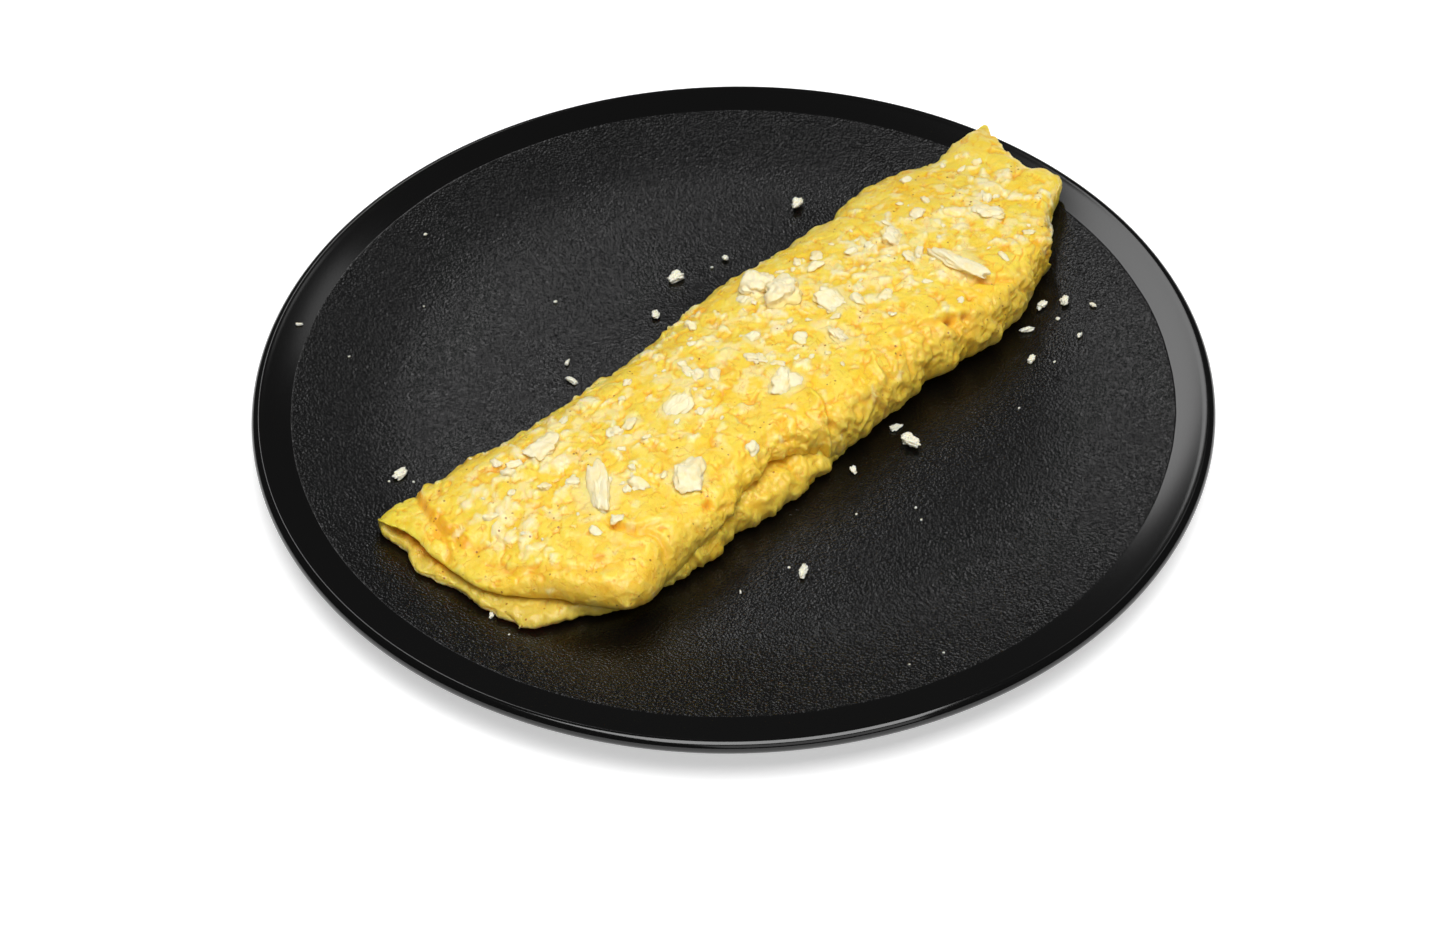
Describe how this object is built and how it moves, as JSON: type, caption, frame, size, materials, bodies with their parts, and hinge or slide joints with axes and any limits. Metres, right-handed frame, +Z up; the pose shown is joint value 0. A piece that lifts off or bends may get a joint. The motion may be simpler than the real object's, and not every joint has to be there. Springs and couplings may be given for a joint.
{
  "type": "folded omelette",
  "caption": "Folded omelette topped with crumbled white cheese, served on a round black stoneware dinner plate with a low rolled lip.",
  "frame": {"origin": "centre of the plate's foot ring, at the level it stands on", "axes": "+Z up; the omelette lies along X, with its layered, gaping end at -X and its rounded tip at +X; its open seam runs along the -Y side and its fold along the +Y side"},
  "size_m": [0.26, 0.26, 0.0328],
  "materials": {
    "black_stoneware": "black satin glaze with a fine leathery texture, glossy on the sloping band inside the lip and on the lip",
    "cooked_egg": "moist, soft cooked egg, golden yellow, with paler and deeper patches and small pits",
    "white_cheese": "crumbly ivory-white cheese, partly melted"
  },
  "bodies": {
    "root": {"plate": "black_stoneware", "omelette": "cooked_egg", "cheese_crumble_01": "white_cheese", "cheese_crumble_02": "white_cheese", "cheese_crumble_03": "white_cheese", "cheese_crumble_04": "white_cheese", "cheese_crumble_05": "white_cheese", "cheese_crumble_06": "white_cheese", "cheese_crumble_07": "white_cheese", "cheese_crumble_08": "white_cheese", "cheese_crumble_09": "white_cheese", "cheese_crumble_10": "white_cheese", "cheese_crumble_11": "white_cheese", "cheese_crumble_12": "white_cheese"}
  },
  "joints": []
}
